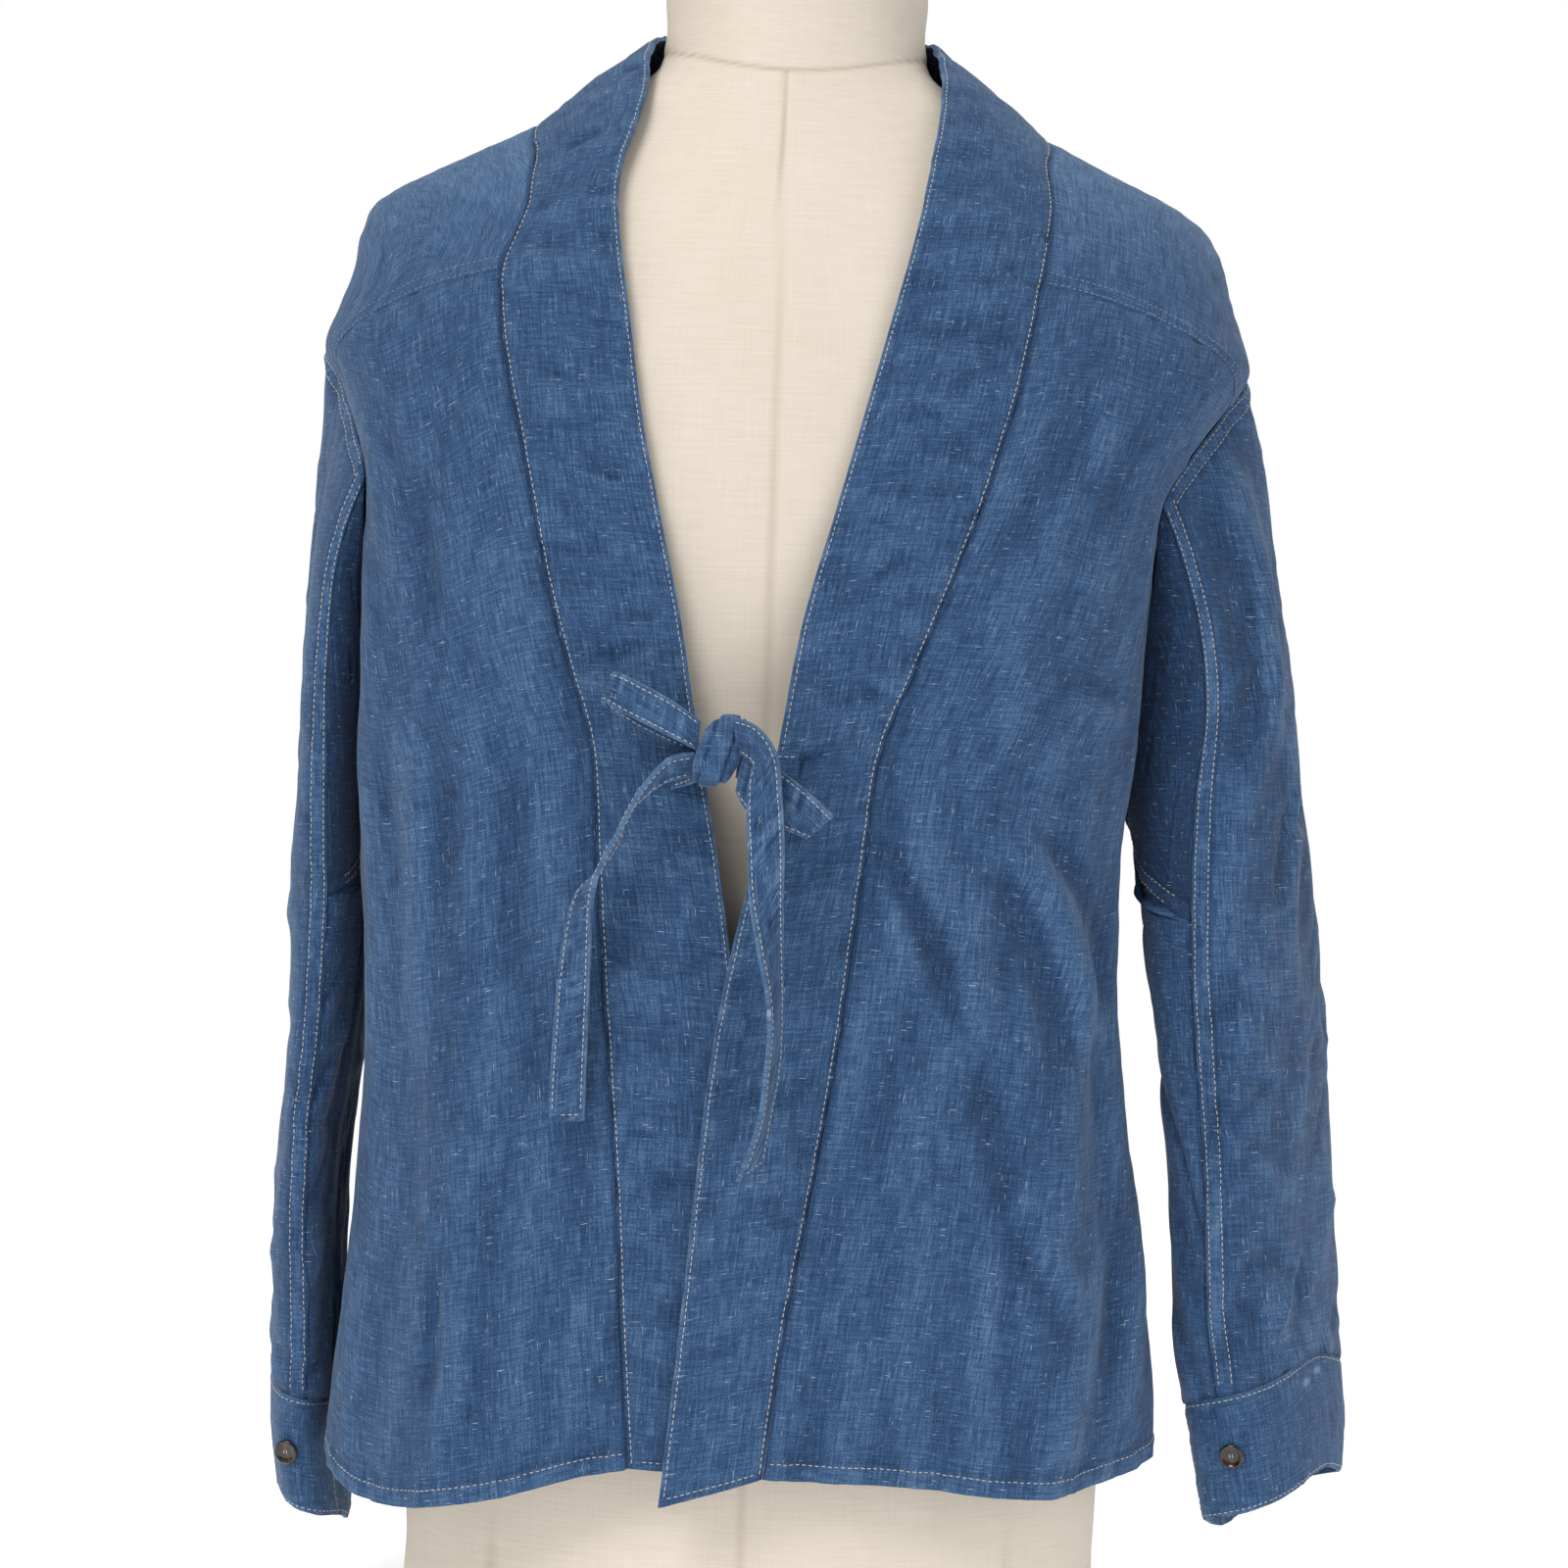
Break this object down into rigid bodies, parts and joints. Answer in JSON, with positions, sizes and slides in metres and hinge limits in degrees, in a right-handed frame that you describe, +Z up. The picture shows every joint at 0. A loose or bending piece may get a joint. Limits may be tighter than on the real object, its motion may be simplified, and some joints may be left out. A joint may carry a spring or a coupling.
{
  "type": "noragi jacket on dress form",
  "caption": "Open-fronted jacket with a long collar band, drop shoulders, buttoned cuffs and a tied bow, worn by a limbless dress form.",
  "frame": {"origin": "centre of the form's flat underside, on the table", "axes": "+Z up along the form, -Y towards the jacket's front, +X towards the wearer's left"},
  "size_m": [0.5364, 0.3075, 0.823],
  "materials": {
    "denim": "matte",
    "deep_denim": "matte",
    "linen": "matte",
    "horn": "gloss"
  },
  "bodies": {
    "root": {"back_panel": "denim", "band_left": "deep_denim", "band_right": "deep_denim", "button_left": "horn", "button_right": "horn", "cuff_left": "deep_denim", "cuff_right": "deep_denim", "dress_form": "linen", "front_left": "denim", "front_right": "denim", "gusset_left": "deep_denim", "gusset_right": "deep_denim", "sleeve_left": "denim", "sleeve_right": "denim", "tie_knot": "deep_denim", "tie_loop_left": "denim", "tie_loop_right": "denim", "tie_stem_left": "denim", "tie_stem_right": "denim", "tie_tail_left": "denim", "tie_tail_right": "denim", "yoke": "denim"}
  },
  "joints": []
}
